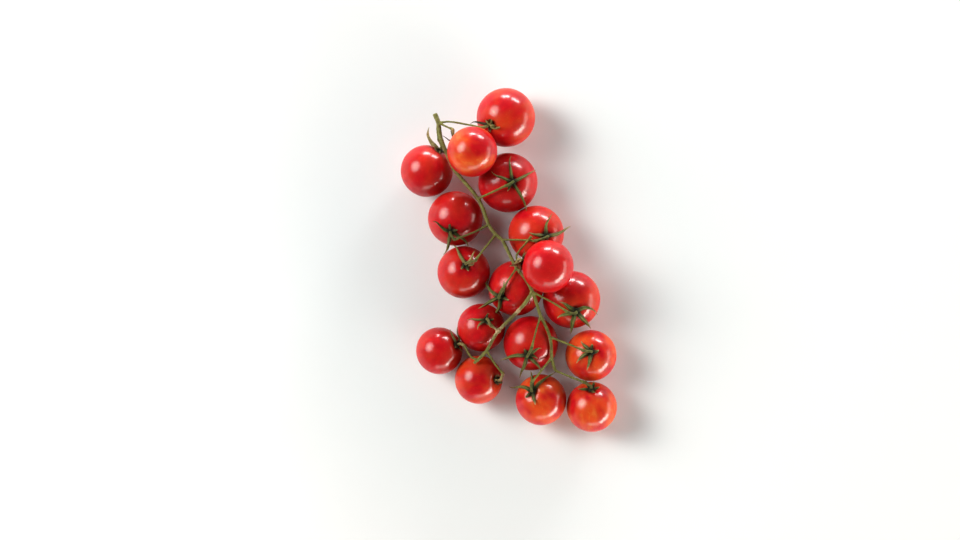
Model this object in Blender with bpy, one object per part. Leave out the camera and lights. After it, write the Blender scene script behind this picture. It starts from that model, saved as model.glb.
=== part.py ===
"""A truss of seventeen cherry tomatoes, picked with its stem and lying on a flat surface.

The vine is one woody piece: the main stem with its cut end, one side branch, and a thin
pedicel to each fruit as far as its knuckle, the joint where a ripe fruit breaks off.
Past the knuckle each fruit has its own calyx piece: the rest of the pedicel, the hub
and the sepals. Fifteen fruits rest on the surface and two are propped on the others.

Frame: +Z up, origin on the surface under the middle of the truss, +Y towards the cut
end of the stem. Lengths are in millimetres and angles in degrees until a mesh is made.
"""

import math

import bmesh
import bpy
from mathutils import Matrix, Vector

MM = 0.001

# Driving dimensions
GAP = 0.3  # clearance between pieces that touch
FRUIT_ROUNDNESS = 0.98  # height along the fruit's own axis over its diameter
DIMPLE_DEPTH = 1.3  # hollow under the calyx
DIMPLE_RADIUS = 3.2
REST_DEPTH = 0.35  # how far the surface flattens the fruit that rests on it
CUT_END_DIAMETER = 2.9
CUT_END_FLARE = 6.0  # the length over which the cut end thins to the stem
STEM_DIAMETER = 2.3
STEM_TIP_DIAMETER = 1.7
BRANCH_DIAMETER = 2.1
BRANCH_TIP_DIAMETER = 1.6
PEDICEL_DIAMETER = 1.15
PEDICEL_BASE_FLARE = 2.2  # the length over which it thins out from the stem
KNUCKLE_DIAMETER = 1.9
KNUCKLE_REACH = 1.6  # the length over which the swelling at the knuckle dies out
NECK_DIAMETER = 1.5  # the pedicel between its knuckle and the hub
NECK_RISE = 2.6  # how far the neck stands straight out of the hub
HUB_DIAMETER = 3.6
HUB_FOOT_DIAMETER = 2.2
HUB_HEIGHT = 1.2
SEPAL_WIDTH = 2.4
SEPAL_THICKNESS = 0.6
SEPAL_LIFT = 0.2  # how far a sepal lies off the skin, beyond the gap

# Each fruit: diameter, then the place of its middle, x and y, then where its calyx
# points, as a heading from +X towards +Y and a tilt away from straight up.
FRUITS = {
    1: (33.0, -1.9, 79.6, 209, 42),
    2: (27.9, -20.5, 59.4, 141, 122),
    3: (29.4, -46.1, 49.9, 58, 70),
    4: (33.3, -0.7, 43.3, 350, 8),
    5: (30.7, -30.0, 22.6, 254, 32),
    6: (31.2, 15.2, 14.9, 341, 21),
    7: (28.8, 20.8, -3.7, 166, 96),
    8: (29.5, -24.8, -6.4, 73, 18),
    9: (30.9, 2.7, -16.5, 209, 40),
    10: (32.2, 34.5, -22.0, 284, 24),
    11: (26.9, -15.0, -38.0, 57, 24),
    12: (26.4, -38.0, -50.3, 20, 56),
    13: (27.1, -17.0, -67.2, 2, 51),
    14: (30.6, 11.2, -46.2, 250, 25),
    15: (28.7, 46.0, -53.9, 106, 11),
    16: (28.6, 18.1, -78.4, 133, 32),
    17: (28.3, 46.3, -82.0, 95, 50),
}
PROPPED = (2, 7)  # these two lie on top of their neighbours

# The courses of the stem and of its side branch over the fruit, from the cut end down.
# A point that a fruit reaches is moved out of it. Pedicels start at the names.
MAIN_STEM = {
    "cut_end": (-41.4, 81.3, 20.0),
    "first_fork": (-39.4, 76.3, 21.0),
    "beside_3": (-38.2, 68.2, 21.5),
    "under_2": (-35.2, 60.3, 21.8),
    "past_2": (-30.0, 49.4, 22.3),
    "over_gap": (-21.8, 39.8, 23.0),
    "fork_4": (-17.4, 34.0, 23.5),
    "bend_5": (-14.4, 28.0, 24.0),
    "fork_5": (-11.5, 19.6, 24.5),
    "fork_8": (-7.6, 14.1, 25.0),
    "fork_6": (-3.9, 11.1, 25.3),
    "beside_7": (0.5, 2.1, 26.5),
    "fork_9": (4.0, -4.5, 28.2),
    "over_9": (8.2, -10.2, 29.3),
    "main_fork": (12.6, -17.6, 29.0),
    "past_fork": (14.4, -22.0, 28.4),
    "fork_14": (17.3, -31.0, 27.5),
    "over_14": (20.3, -37.2, 27.0),
    "fork_15": (22.0, -42.8, 26.6),
    "past_14": (22.6, -47.8, 26.2),
    "fork_16": (23.4, -54.3, 25.2),
    "stem_tip": (25.5, -61.3, 24.0),
}
SIDE_BRANCH = {
    "branch_start": (11.2, -20.0, 28.8),
    "bract_scar": (5.0, -28.2, 27.4),
    "branch_knot": (-6.1, -39.2, 25.6),
    "over_11": (-9.4, -44.6, 25.2),
    "fork_13": (-12.6, -50.4, 24.4),
    "fork_12": (-17.6, -55.6, 24.2),
    "branch_tip": (-19.6, -57.3, 24.0),
}
KNOTS = {"bract_scar": 1.35, "branch_knot": 1.75}  # radius of each woody knot

# Each pedicel: where it leaves the stem, then the points that it passes through and the
# place of its knuckle, both from the hub.
PEDICELS = {
    1: ("first_fork", [(-22.5, 2.3, -4.1), (-12.9, 0.6, -1.1)], (-3.6, -1.5, 1.6)),
    2: ("first_fork", [(-5.8, 7.5, -1.9)], (-2.4, 5.9, -1.2)),
    3: ("first_fork", [(-1.1, 11.9, 1.2)], (-0.2, 6.2, 0.6)),
    4: ("fork_4", [(-11.1, -5.7, -0.7)], (-3.4, -2.2, 2.9)),
    5: ("fork_5", [(13.5, -0.1, -0.2), (6.4, -2.8, 0.6)], (2.5, -4.3, 1.3)),
    6: ("fork_6", [(-16.7, -2.1, -0.4)], (-6.0, -2.6, 3.9)),
    7: ("fork_9", [], (-3.6, -2.2, -4.4)),
    8: ("fork_8", [(10.8, 9.4, 0.1)], (5.6, 2.9, 2.3)),
    9: ("fork_9", [(4.1, 9.4, 5.3)], (0.9, 4.4, 5.3)),
    10: ("main_fork", [(-12.2, 4.4, 2.1)], (-4.3, -0.6, 2.9)),
    11: ("branch_knot", [], (2.8, -3.0, 3.9)),
    12: ("fork_12", [(7.8, -6.4, 5.3)], (4.3, -0.3, 3.3)),
    13: ("fork_13", [(-0.5, 8.3, 3.1)], (3.2, 3.9, 2.2)),
    14: ("fork_14", [(4.4, 13.0, 3.5)], (2.2, 4.4, 4.9)),
    15: ("fork_15", [(-14.3, 5.1, 1.7)], (-4.6, 1.2, 3.0)),
    16: ("fork_16", [(5.4, 12.8, 2.0)], (-0.5, 5.4, 3.0)),
    17: ("stem_tip", [(-12.0, 7.3, 3.0)], (-4.7, 4.4, 3.4)),
}
BARREN_PEDICEL = [(4.1, 3.0, 29.2), (8.3, 8.3, 32.2), (12.0, 12.8, 33.8)]  # its fruit fell

# Each sepal: azimuth about the fruit's axis from its downhill side, length, how far it
# turns sideways, and its droop: 1 hugs the skin, 0 sticks straight out, below 0 curls up.
SEPALS = {
    1: [(135, 10, 30, 0.9), (233, 5, 0, 0.2), (180, 6, -40, 0.7), (322, 14, 30, 0.9), (70, 4, 0, 1)],
    2: [(185, 9, 40, 0.3), (150, 11, 20, 0.9), (40, 7, 0, 1), (290, 6, 0, 1), (240, 6, 0, 0.8)],
    3: [(72, 15.5, -20, -0.4), (130, 5, 0, 0.9), (200, 5, 0, 1), (280, 6, 0, 1), (350, 7, 0, 1)],
    4: [
        (108, 15, -8, 0.95), (35, 16, 5, 0.95), (313, 21.5, 12, 0.85),
        (168, 13, -8, 0.95), (250, 6, 0, 1),
    ],
    5: [
        (262, 12, -30, 0.9), (202, 8, -10, 0.6), (3, 16.5, 0, 0.5),
        (68, 15, -30, 0.95), (130, 5, 0, 1),
    ],
    6: [(105, 13, -15, 0.9), (30, 18, 5, 0.85), (192, 10.5, -6, 0.95), (300, 8, 0, 1), (250, 5, 0, 1)],
    7: [(150, 11, 0, -1.2), (220, 9, 0, 0.9), (95, 8, 0, 0.9), (25, 6, 0, 1), (310, 7, 0, 1)],
    8: [(44, 16, -8, 0.95), (338, 9.5, 10, 0.9), (285, 6, 15, 0.8), (150, 4.5, 0, 1), (215, 4.5, 0, 1)],
    9: [(310, 17, -8, 0.8), (357, 15, 8, -0.9), (40, 16, -8, 0.6), (218, 10.5, 0, 0.9), (138, 6, 0, 1)],
    10: [
        (222, 11, 6, 0.9), (90, 13, -35, 0.9), (26, 18.5, -4, 0.9),
        (338, 18.5, 12, 0.9), (276, 11, -15, 0.9),
    ],
    11: [(119, 11, 10, 0.95), (155, 8, 10, 0.95), (25, 5, 0, -0.6), (305, 5, 0, 0.9), (227, 4, 0, 1)],
    12: [(97, 10, 15, 0.9), (40, 12, 12, 0.1), (0, 10.5, 0, -0.4), (200, 4, 0, 1), (290, 5, 0, 1)],
    13: [(110, 5, 0, 0.5), (180, 5, 0, 0.6), (245, 4.5, 0, 0.5), (325, 4.5, 0, 0.5), (40, 4.5, 0, 0.5)],
    14: [
        (302, 18, 10, 0.8), (3, 17, 4, 0.7), (59, 14.5, 0, 0.95),
        (145, 9, 0, 0.9), (105, 6, -10, 1), (225, 4.5, 0, 1),
    ],
    15: [(100, 10.5, 8, 0.95), (153, 10.5, 0, 0.95), (260, 5, 0, 0.8), (30, 8.5, 4, 0.9), (340, 5, 0, 0.8)],
    16: [
        (22, 17.5, 6, 0.8), (327, 14.5, -4, 0.95), (282, 20, 6, 0.95),
        (90, 6, 25, 0.9), (151, 8.5, -15, 0.95),
    ],
    17: [(84, 7.5, 4, 0.9), (20, 8.5, 0, 0.9), (330, 5.5, 0, 0.5), (200, 5, 0, 0.9), (270, 5, 0, 0.9)],
}

# Mesh fineness
FRUIT_SEGMENTS = 16
FRUIT_POLAR_STEPS = (0, 7, 14, 24, 42, 62, 82, 102, 122, 142, 162, 180)
STEM_SIDES = 7
PEDICEL_SIDES = 5
STEM_STEP = 4.5
PEDICEL_STEP = 3.5
SEPAL_STATIONS = 5
HUB_SIDES = 8

COLOURS = {  # base colour, roughness
    "tomato_skin": ((0.62, 0.015, 0.012), 0.18),
    "vine_bark": ((0.24, 0.21, 0.09), 0.62),
    "calyx_green": ((0.10, 0.17, 0.05), 0.65),
}


class Fruit:
    """One fruit's size, place and attitude."""

    def __init__(self, number):
        size, x, y, heading, tilt = FRUITS[number]
        self.number = number
        self.radius = size / 2
        self.angles = (0.0, math.radians(tilt), math.radians(heading))
        turn_heading = Matrix.Rotation(self.angles[2], 3, "Z")
        self.turn = turn_heading @ Matrix.Rotation(self.angles[1], 3, "Y")
        self.axis = self.turn @ Vector((0, 0, 1))
        self.centre = Vector((x, y, self.resting_height()))

    def skin(self, polar):
        """Distance from the middle to the skin, at this angle from the fruit's axis."""
        round_part = self.radius * (1 - (1 - FRUIT_ROUNDNESS) * math.cos(polar) ** 2)
        from_pole = polar * self.radius / DIMPLE_RADIUS
        return round_part - DIMPLE_DEPTH * math.exp(-(from_pole**2))

    def skin_towards(self, direction):
        return self.skin(direction.angle(self.axis))

    def resting_height(self):
        lowest = min((self.turn @ point).z for ring in self.rings() for point in ring)
        return -lowest - REST_DEPTH

    def rings(self):
        """The skin's points, ring by ring from the calyx end, in the fruit's own frame."""
        for step in FRUIT_POLAR_STEPS:
            polar = math.radians(step)
            count = 1 if step in (0, 180) else FRUIT_SEGMENTS
            yield [
                self.skin(polar) * spherical(polar, 2 * math.pi * i / FRUIT_SEGMENTS)
                for i in range(count)
            ]

    def to_world(self, point):
        return self.centre + self.turn @ point

    def to_local(self, point):
        return self.turn.transposed() @ (point - self.centre)

    def hub_base(self):
        """The height of the hub's foot, clear of the dimple's sides and bottom."""
        return self.skin(HUB_FOOT_DIAMETER / 2 / self.radius) + GAP

    def hub(self):
        """The middle of the hub, which sits in the dimple."""
        return self.to_world(Vector((0, 0, self.hub_base() + HUB_HEIGHT / 2)))


def spherical(polar, azimuth):
    across = math.sin(polar)
    return Vector((across * math.cos(azimuth), across * math.sin(azimuth), math.cos(polar)))


def spread_apart(fruits):
    """Moves the fruits on the surface sideways until none presses into another."""
    for _ in range(200):
        for i, first in enumerate(fruits):
            for second in fruits[i + 1 :]:
                between = (second.centre - first.centre).to_2d()
                overlap = first.radius + second.radius + GAP - between.length
                if overlap > 0:
                    push = between.normalized().to_3d() * overlap / 2
                    first.centre -= push
                    second.centre += push


def prop_up(fruit, others):
    """Lowers a fruit from above until it lies on the first one that it meets."""
    heights = []
    for other in others:
        apart = fruit.radius + other.radius + GAP
        beside = (fruit.centre - other.centre).to_2d().length
        if beside < apart:
            heights.append(other.centre.z + math.sqrt(apart**2 - beside**2))
    fruit.centre.z = max(heights)


def lay_out_fruits():
    fruits = {number: Fruit(number) for number in FRUITS}
    resting = [fruit for fruit in fruits.values() if fruit.number not in PROPPED]
    spread_apart(resting)
    for number in PROPPED:
        prop_up(fruits[number], resting)
    return fruits


def middle_of(fruits):
    """The middle of the fruits' outline on the surface."""
    lows = [fruit.centre - Vector((1, 1, 1)) * fruit.radius for fruit in fruits.values()]
    highs = [fruit.centre + Vector((1, 1, 1)) * fruit.radius for fruit in fruits.values()]
    x = (min(p.x for p in lows) + max(p.x for p in highs)) / 2
    y = (min(p.y for p in lows) + max(p.y for p in highs)) / 2
    return Vector((x, y, 0))


def keep_clear(point, half_width, fruits):
    """Moves a point out of every fruit, far enough for a piece this thick."""
    for _ in range(4):
        for fruit in fruits:
            outward = point - fruit.centre
            if outward.length < fruit.radius + half_width + GAP:
                needed = fruit.skin_towards(outward) + half_width + GAP
                if outward.length < needed:
                    point = fruit.centre + outward.normalized() * needed
    return point


def smooth_course(points, step):
    """Points about a step apart on one smooth curve through the points given."""
    course = [points[0]]
    padded = [2 * points[0] - points[1], *points, 2 * points[-1] - points[-2]]
    for before, start, end, after in zip(padded, padded[1:], padded[2:], padded[3:]):
        count = max(2, round((end - start).length / step))
        leave = (end - before) / 2 * min(1, (end - start).length / (start - before).length)
        reach = (after - start) / 2 * min(1, (end - start).length / (after - end).length)
        for i in range(1, count + 1):
            t = i / count
            course.append(
                start * (2 * t**3 - 3 * t**2 + 1)
                + leave * (t**3 - 2 * t**2 + t)
                + end * (3 * t**2 - 2 * t**3)
                + reach * (t**3 - t**2)
            )
    return course


def lengths_along(course):
    total = [0.0]
    for start, end in zip(course, course[1:]):
        total.append(total[-1] + (end - start).length)
    return total


def cut_course(course, start, end):
    """The stretch of a course between two distances along it."""
    along = lengths_along(course)

    def at(distance):
        for i in range(1, len(course)):
            if along[i] >= distance:
                share = (distance - along[i - 1]) / (along[i] - along[i - 1])
                return course[i - 1].lerp(course[i], share)
        return course[-1]

    margin = 0.25  # a point nearer than this to an end would make a sliver
    inner = [p for p, d in zip(course, along) if start + margin < d < end - margin]
    return [at(start), *inner, at(end)]


def loft(rings):
    """A closed mesh through rings of points, with a flat cap on each end."""
    mesh = bmesh.new()
    rows = [[mesh.verts.new(point) for point in ring] for ring in rings]
    for row, following in zip(rows, rows[1:]):
        count = max(len(row), len(following))
        for i in range(count):
            corners = [row[i % len(row)], row[(i + 1) % len(row)]]
            corners += [following[(i + 1) % len(following)], following[i % len(following)]]
            mesh.faces.new(dict.fromkeys(corners))
    for row in (rows[0], rows[-1]):
        if len(row) > 2:
            mesh.faces.new(row)
    bmesh.ops.recalc_face_normals(mesh, faces=mesh.faces)
    return mesh


def tube(course, radii, sides, start_facing=None, end_facing=None):
    """A round tube along a course, its section carried along without twisting."""
    rings = []
    normal = (course[1] - course[0]).orthogonal().normalized()
    for i, point in enumerate(course):
        tangent = (course[min(i + 1, len(course) - 1)] - course[max(i - 1, 0)]).normalized()
        if i == 0 and start_facing:
            tangent = start_facing
        if i == len(course) - 1 and end_facing:
            tangent = end_facing
        normal = (normal - tangent * normal.dot(tangent)).normalized()
        across = tangent.cross(normal)
        turns = [2 * math.pi * j / sides for j in range(sides)]
        rings.append([point + radii[i] * (normal * math.cos(a) + across * math.sin(a)) for a in turns])
    return loft(rings)


def tapered(course, start_diameter, end_diameter):
    along = lengths_along(course)
    return [
        (start_diameter + (end_diameter - start_diameter) * distance / along[-1]) / 2
        for distance in along
    ]


def swelling(from_end, thin, thick, reach):
    """A radius that is thick at one end and thins out within a few millimetres."""
    return (thin + (thick - thin) * math.exp(-((from_end / reach) ** 2))) / 2


def stem_radii(course):
    """The main stem's radii: thickest at the cut end, then a slow taper to the tip."""
    radii = tapered(course, STEM_DIAMETER, STEM_TIP_DIAMETER)
    extra = (CUT_END_DIAMETER - STEM_DIAMETER) / 2
    along = lengths_along(course)
    return [r + extra * math.exp(-((d / CUT_END_FLARE) ** 2)) for r, d in zip(radii, along)]


def pedicel_course(fruit, fork, fruits):
    """The whole pedicel from the stem to the hub, and how far along it the knuckle is."""
    _, vias, knuckle_offset = PEDICELS[fruit.number]
    hub = fruit.hub()
    knuckle = hub + Vector(knuckle_offset)
    knuckle = keep_clear(knuckle, KNUCKLE_DIAMETER / 2, fruits)
    above_hub = hub + fruit.axis * NECK_RISE
    route = [fork, *(hub + Vector(via) for via in vias), knuckle]
    lower = clear_course(route, PEDICEL_STEP, PEDICEL_DIAMETER / 2, fruits)
    whole = smooth_course([*lower, above_hub, hub], PEDICEL_STEP)
    nearest = min(range(len(whole)), key=lambda i: (whole[i] - knuckle).length)
    return whole, lengths_along(whole)[nearest]


def pedicel_pieces(fruit, fork, fruits):
    """The pedicel below its knuckle, which is the vine's, and the neck above it."""
    whole, at_knuckle = pedicel_course(fruit, fork, fruits)
    length = lengths_along(whole)[-1]
    lower = cut_course(whole, 0, at_knuckle - GAP / 2)
    neck = cut_course(whole, at_knuckle + GAP / 2, length)
    facing = (neck[0] - lower[-1]).normalized()
    lower_radii = [
        max(
            swelling(d, PEDICEL_DIAMETER, 1.5 * PEDICEL_DIAMETER, PEDICEL_BASE_FLARE),
            swelling(at_knuckle - d, PEDICEL_DIAMETER, KNUCKLE_DIAMETER, KNUCKLE_REACH),
        )
        for d in lengths_along(lower)
    ]
    neck_radii = [
        swelling(d, NECK_DIAMETER, KNUCKLE_DIAMETER, KNUCKLE_REACH)
        for d in lengths_along(neck)
    ]
    return (
        tube(lower, lower_radii, PEDICEL_SIDES, end_facing=facing),
        tube(neck, neck_radii, PEDICEL_SIDES, start_facing=facing),
    )


def knot(place, radius):
    mesh = bmesh.new()
    bmesh.ops.create_icosphere(mesh, subdivisions=1, radius=radius)
    bmesh.ops.translate(mesh, vec=place, verts=mesh.verts)
    return mesh


def clear_stations(fruits):
    """Every named point of the stem and of its side branch, moved clear of the fruits."""
    return {
        name: keep_clear(Vector(point), diameter / 2, fruits)
        for route, diameter in ((MAIN_STEM, STEM_DIAMETER), (SIDE_BRANCH, BRANCH_DIAMETER))
        for name, point in route.items()
    }


def clear_course(points, step, half_width, fruits):
    """A smooth course through the points, of which all but the first is kept clear."""
    course = smooth_course(points, step)
    return [course[0]] + [keep_clear(point, half_width, fruits) for point in course[1:]]


def vine_meshes(stations, fruits, pedicels):
    main_route = [stations[name] for name in MAIN_STEM]
    branch_route = [stations[name] for name in ("main_fork", *SIDE_BRANCH)]
    barren_route = [stations["fork_9"], *map(Vector, BARREN_PEDICEL)]
    main = clear_course(main_route, STEM_STEP, STEM_DIAMETER / 2, fruits)
    branch = clear_course(branch_route, STEM_STEP, BRANCH_DIAMETER / 2, fruits)
    barren = clear_course(barren_route, PEDICEL_STEP, PEDICEL_DIAMETER / 2, fruits)
    barren_length = lengths_along(barren)[-1]
    barren_radii = [
        swelling(barren_length - d, PEDICEL_DIAMETER, KNUCKLE_DIAMETER, KNUCKLE_REACH)
        for d in lengths_along(barren)
    ]
    branch_radii = tapered(branch, BRANCH_DIAMETER, BRANCH_TIP_DIAMETER)
    meshes = [tube(main, stem_radii(main), STEM_SIDES)]
    meshes.append(tube(branch, branch_radii, STEM_SIDES))
    meshes.append(tube(barren, barren_radii, PEDICEL_SIDES))
    meshes += [knot(stations[name], radius) for name, radius in KNOTS.items()]
    return meshes + pedicels


def sepal_mesh(fruit, azimuth, length, turn_aside, droop, others):
    """One pointed sepal, ridged above and flat below, from inside the hub to its tip."""
    half_thickness = SEPAL_THICKNESS / 2
    clearance = GAP + half_thickness + SEPAL_LIFT
    base_height = fruit.hub_base() + HUB_HEIGHT / 2
    shoulder = fruit.radius * FRUIT_ROUNDNESS + clearance
    out, height = 0.0, shoulder
    rings = []
    step = length / (SEPAL_STATIONS - 1)
    for i in range(SEPAL_STATIONS):
        share = i / (SEPAL_STATIONS - 1)
        heading = math.radians(azimuth + turn_aside * (share - 0.5))
        outward = Vector((math.cos(heading), math.sin(heading), 0))
        centre = outward * out + Vector((0, 0, height))
        centre.z -= (shoulder - base_height) * math.exp(-((out / (HUB_DIAMETER / 2)) ** 2))
        least = fruit.skin(centre.angle(Vector((0, 0, 1)))) + clearance
        if centre.length < least and i:
            centre = centre.normalized() * least
        world = keep_clear(fruit.to_world(centre), half_thickness + 0.1, others)
        centre = fruit.to_local(world)
        half_width = SEPAL_WIDTH / 2 * (0.55 + 0.9 * share) * (1 - share) ** 0.7 + 0.12
        side = Vector((-outward.y, outward.x, 0))
        up = centre.normalized()
        thin = half_thickness * (1 - 0.6 * share)
        foot = centre - up * thin
        rings.append([foot + side * half_width, centre + up * thin, foot - side * half_width])
        slope = droop * out / fruit.radius
        out += step * math.cos(slope)
        height -= step * math.sin(slope)
    return loft(rings)


def hub_mesh(fruit):
    """The hub: a low button in the dimple, a little domed on top."""
    bottom = fruit.hub_base()
    profile = ((HUB_FOOT_DIAMETER / HUB_DIAMETER, 0.0), (1.0, 0.35), (0.95, 0.8), (0.6, 1.0))
    rings = []
    for across, up in profile:
        radius = across * HUB_DIAMETER / 2
        turns = [2 * math.pi * i / HUB_SIDES for i in range(HUB_SIDES)]
        height = bottom + up * HUB_HEIGHT
        rings.append([Vector((radius * math.cos(a), radius * math.sin(a), height)) for a in turns])
    return loft(rings)


def calyx_meshes(fruit, neck, others):
    """The hub, its sepals and the neck, in the fruit's own frame."""
    to_local = Matrix.Translation(fruit.centre) @ fruit.turn.to_4x4()
    bmesh.ops.transform(neck, matrix=to_local.inverted(), verts=neck.verts)
    sepals = [sepal_mesh(fruit, *sepal, others) for sepal in SEPALS[fruit.number]]
    return [hub_mesh(fruit), *sepals, neck]


def fruit_mesh(fruit):
    """The fruit, flattened where it rests on the surface."""
    mesh = loft(list(fruit.rings()))
    if fruit.number in PROPPED:
        return mesh
    floor_point = fruit.to_local(Vector((fruit.centre.x, fruit.centre.y, 0)))
    floor_normal = fruit.turn.transposed() @ Vector((0, 0, -1))
    everything = [*mesh.verts, *mesh.edges, *mesh.faces]
    cut = bmesh.ops.bisect_plane(
        mesh, geom=everything, plane_co=floor_point, plane_no=floor_normal, clear_outer=True
    )
    rim = [part for part in cut["geom_cut"] if isinstance(part, bmesh.types.BMEdge)]
    bmesh.ops.contextual_create(mesh, geom=rim)
    bmesh.ops.recalc_face_normals(mesh, faces=mesh.faces)
    return mesh


def material(name):
    colour, roughness = COLOURS[name]
    made = bpy.data.materials.new(name)
    made.use_nodes = True
    shader = made.node_tree.nodes["Principled BSDF"]
    shader.inputs["Base Color"].default_value = (*colour, 1)
    shader.inputs["Roughness"].default_value = roughness
    shader.inputs["Metallic"].default_value = 0
    return made


def new_object(name, mesh, surface, collection):
    """An object in metres made from a mesh in millimetres."""
    bmesh.ops.scale(mesh, vec=(MM, MM, MM), verts=mesh.verts)
    bmesh.ops.triangulate(mesh, faces=[face for face in mesh.faces if len(face.verts) > 4])
    data = bpy.data.meshes.new(name)
    mesh.to_mesh(data)
    mesh.free()
    data.shade_smooth()
    data.set_sharp_from_angle(angle=math.radians(50))
    data.materials.append(surface)
    made = bpy.data.objects.new(name, data)
    collection.objects.link(made)
    return made


def fused_object(name, meshes, surface):
    """One solid: the first mesh with all the others joined to it by a Boolean union."""
    helpers = bpy.data.collections.new(f"{name}_joined")
    helpers.hide_render = True
    bpy.context.scene.collection.children.link(helpers)
    whole = new_object(name, meshes[0], surface, bpy.context.scene.collection)
    for i, mesh in enumerate(meshes[1:]):
        helper = new_object(f"{name}_joined_{i:02d}", mesh, surface, helpers)
        helper.hide_render = True
        helper.display_type = "WIRE"
        helper.parent = whole
    union = whole.modifiers.new("joined", "BOOLEAN")
    union.operation = "UNION"
    union.operand_type = "COLLECTION"
    union.collection = helpers
    union.solver = "EXACT"
    return whole


def main():
    scene = bpy.context.scene.collection
    for old in list(bpy.data.objects):
        bpy.data.objects.remove(old, do_unlink=True)
    surfaces = {name: material(name) for name in COLOURS}
    fruits = lay_out_fruits()
    truss = bpy.data.objects.new("truss", None)
    truss.location = -middle_of(fruits) * MM
    scene.objects.link(truss)

    stations = clear_stations(fruits.values())
    pedicels = []
    for number, fruit in fruits.items():
        others = [other for other in fruits.values() if other is not fruit]
        fork = stations[PEDICELS[number][0]]
        lower, neck = pedicel_pieces(fruit, fork, fruits.values())
        pedicels.append(lower)
        calyx = calyx_meshes(fruit, neck, others)
        pieces = (
            new_object(f"tomato_{number:02d}", fruit_mesh(fruit), surfaces["tomato_skin"], scene),
            fused_object(f"calyx_{number:02d}", calyx, surfaces["calyx_green"]),
        )
        for piece in pieces:
            piece.location = fruit.centre * MM
            piece.rotation_euler = fruit.angles
            piece.parent = truss
    vine = vine_meshes(stations, fruits.values(), pedicels)
    fused_object("vine", vine, surfaces["vine_bark"]).parent = truss


main()
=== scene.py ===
"""Looks for a truss of seventeen cherry tomatoes lying on a pale table.

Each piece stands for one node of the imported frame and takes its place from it: a fine
fruit, a calyx with folded and curled sepals, and the woody vine. Lengths are in
millimetres and angles in degrees until a mesh is made.
"""

import math
import random

import bpy
import numpy as np
from mathutils import Matrix, Vector, noise
from mathutils.bvhtree import BVHTree


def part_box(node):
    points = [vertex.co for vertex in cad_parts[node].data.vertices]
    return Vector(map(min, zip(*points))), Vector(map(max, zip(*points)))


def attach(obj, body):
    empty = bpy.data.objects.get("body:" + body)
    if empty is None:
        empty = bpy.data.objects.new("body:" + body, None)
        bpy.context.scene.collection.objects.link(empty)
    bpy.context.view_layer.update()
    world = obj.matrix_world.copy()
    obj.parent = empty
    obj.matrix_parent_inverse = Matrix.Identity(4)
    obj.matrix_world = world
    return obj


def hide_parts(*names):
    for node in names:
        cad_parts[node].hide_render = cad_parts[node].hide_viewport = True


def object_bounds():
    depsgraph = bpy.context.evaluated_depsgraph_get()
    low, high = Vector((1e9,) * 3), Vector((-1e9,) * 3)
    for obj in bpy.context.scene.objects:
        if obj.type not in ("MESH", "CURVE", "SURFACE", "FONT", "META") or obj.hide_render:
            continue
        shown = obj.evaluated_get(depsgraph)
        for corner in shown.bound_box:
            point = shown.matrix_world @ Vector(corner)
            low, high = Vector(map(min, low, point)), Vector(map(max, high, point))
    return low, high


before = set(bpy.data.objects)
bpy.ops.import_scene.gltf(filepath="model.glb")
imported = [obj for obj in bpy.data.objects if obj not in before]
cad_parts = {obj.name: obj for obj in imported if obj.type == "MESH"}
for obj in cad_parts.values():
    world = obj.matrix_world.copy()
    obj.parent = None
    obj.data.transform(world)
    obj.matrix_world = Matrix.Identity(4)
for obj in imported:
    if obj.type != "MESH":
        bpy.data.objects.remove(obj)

cad_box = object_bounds()
MM = 0.001
BODY = "root"

# Sizes that the fine pieces share with their solids
GAP = 0.3
FRUIT_ROUNDNESS = 0.98
DIMPLE_DEPTH = 1.3
DIMPLE_RADIUS = 3.2
KNUCKLE_DIAMETER = 1.9
NECK_DIAMETER = 1.5
NECK_RISE = 2.6
HUB_DIAMETER = 3.6
HUB_FOOT_DIAMETER = 2.2
HUB_HEIGHT = 1.2
SEPAL_WIDTH = 2.4
SEPAL_THICKNESS = 0.3
SEPAL_LIFT = 0.25  # how far a sepal lies off the skin, beyond the gap
ROLL_START = 0.35  # the share of a sepal at which its tip starts to roll up
PAINTED_SHADE_RADIUS = 3.4  # how far the painted shade round the middle of a calyx reaches

# Each fruit: diameter, then where its calyx points, as a heading and a tilt from
# upright, then how unripe its shoulders are and how dry its calyx is, from 0 to 1, and
# how broad its sepals are beside SEPAL_WIDTH.
FRUITS = {
    1: (33.0, 209, 42, 0.32, 0.25, 1.35),
    2: (27.9, 141, 122, 0.66, 0.95, 0.60),
    3: (29.4, 58, 70, 0.12, 0.35, 0.90),
    4: (33.3, 350, 8, 0.05, 0.05, 0.80),
    5: (30.7, 254, 32, 0.10, 0.10, 1.05),
    6: (31.2, 341, 21, 0.18, 0.10, 0.95),
    7: (28.8, 166, 96, 0.05, 0.80, 0.80),
    8: (29.5, 73, 18, 0.15, 0.30, 0.90),
    9: (30.9, 209, 40, 0.10, 0.10, 1.10),
    10: (32.2, 284, 24, 0.25, 0.05, 1.25),
    11: (26.9, 57, 24, 0.10, 0.30, 0.70),
    12: (26.4, 20, 56, 0.12, 0.45, 0.85),
    13: (27.1, 2, 51, 0.35, 0.75, 0.80),
    14: (30.6, 250, 25, 0.12, 0.10, 1.05),
    15: (28.7, 106, 11, 0.56, 0.15, 1.10),
    16: (28.6, 133, 32, 0.62, 0.15, 1.05),
    17: (28.3, 95, 50, 0.70, 0.15, 1.00),
}

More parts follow.
